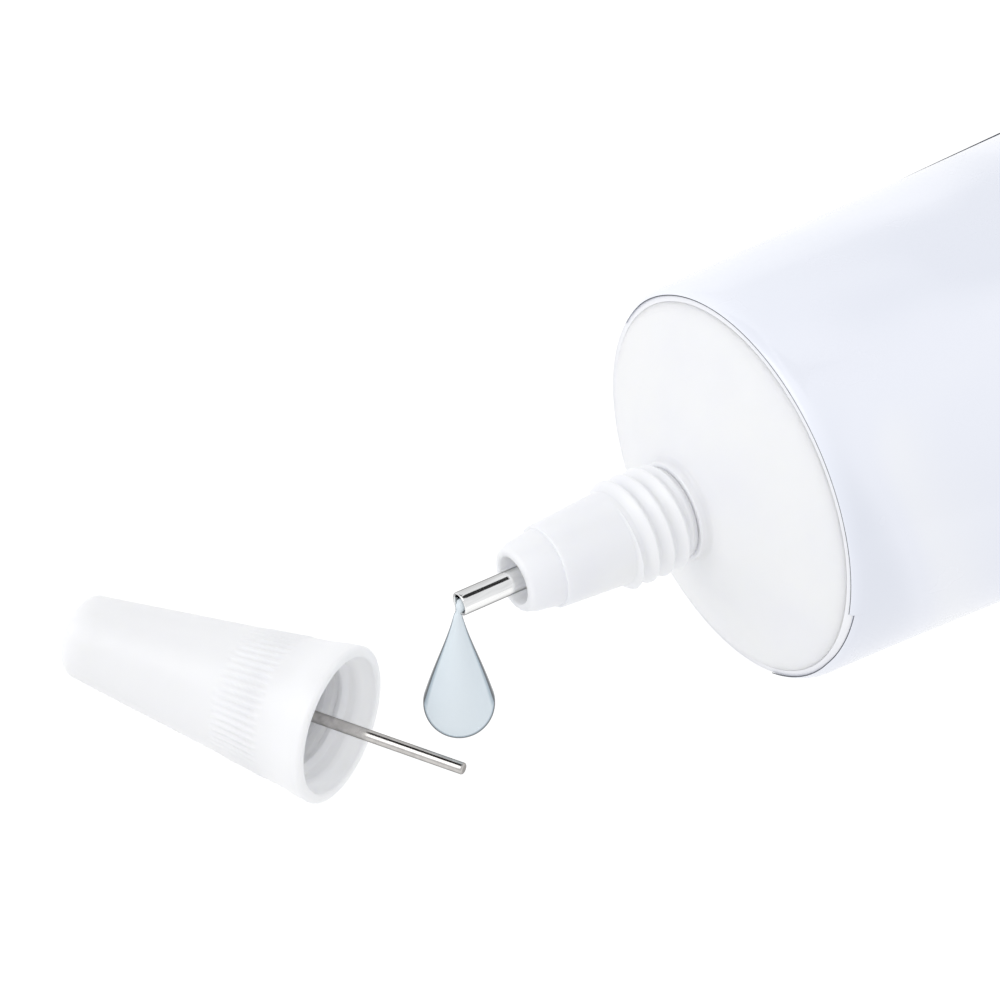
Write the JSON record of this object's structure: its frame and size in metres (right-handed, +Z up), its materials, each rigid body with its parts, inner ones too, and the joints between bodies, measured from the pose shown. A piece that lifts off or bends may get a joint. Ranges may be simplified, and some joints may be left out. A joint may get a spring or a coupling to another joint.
{
  "type": "glue tube with needle nozzle",
  "caption": "Collapsible glue tube with a flat welded tail, threaded nozzle, steel needle tip and a loose screw cap that carries a blocking pin.",
  "frame": {"origin": "under the middle of the whole object's box, on the surface it lies on", "axes": "+X along the tube towards its flat tail, the nozzle points to -X and 6.4 degrees up; +Y to the loose cap's closed end; +Z up"},
  "size_m": [0.2004, 0.0542, 0.0344],
  "materials": {
    "laminate": "satin, soft sheen",
    "label_film": "gloss film, unprinted",
    "glue": "clear wet gel",
    "white_plastic": "semi-gloss moulded",
    "barrier_laminate": "foil laminate, satin",
    "gasket_foam": "matt",
    "needle_steel": "bright drawn"
  },
  "bodies": {
    "tube": {"tube_sleeve": "laminate", "label_wrap": "label_film", "glue_fill": "glue", "shoulder": "white_plastic", "barrier_insert": "barrier_laminate", "neck_gasket": "gasket_foam"},
    "needle_tip": {"needle": "needle_steel", "glue_drop": "glue"},
    "nozzle_cone": {"nozzle": "white_plastic"},
    "blocking_pin": {"cap_pin": "needle_steel"},
    "screw_cap": {"cap_shell": "white_plastic"}
  },
  "joints": [
    {"name": "nozzle_travel", "type": "slide", "parent": "tube", "child": "needle_tip", "axis": [-0.9938, 0, 0.111], "range_m": [0, 0.0015]},
    {"name": "nozzle_turn", "type": "hinge", "parent": "needle_tip", "child": "nozzle_cone", "pos_m": [-0.05882, 0, 0.0183], "axis": [-0.9938, 0, 0.111], "range_deg": [0, 360]},
    {"name": "cap_swing", "type": "hinge", "parent": "tube", "child": "blocking_pin", "pos_m": [-0.09457, -0.01372, 0.0117], "axis": [0.6643, -0.1835, 0.7246], "range_deg": [0, 77.61]},
    {"name": "cap_turn", "type": "hinge", "parent": "blocking_pin", "child": "screw_cap", "pos_m": [-0.08468, 0.003, 0.00687], "axis": [0.4959, -0.8589, 0.1281], "range_deg": [0, 900]}
  ],
  "couplings": [
    {"joint": "nozzle_turn", "follows": "nozzle_travel", "rad_per_m": 4188.8}
  ]
}
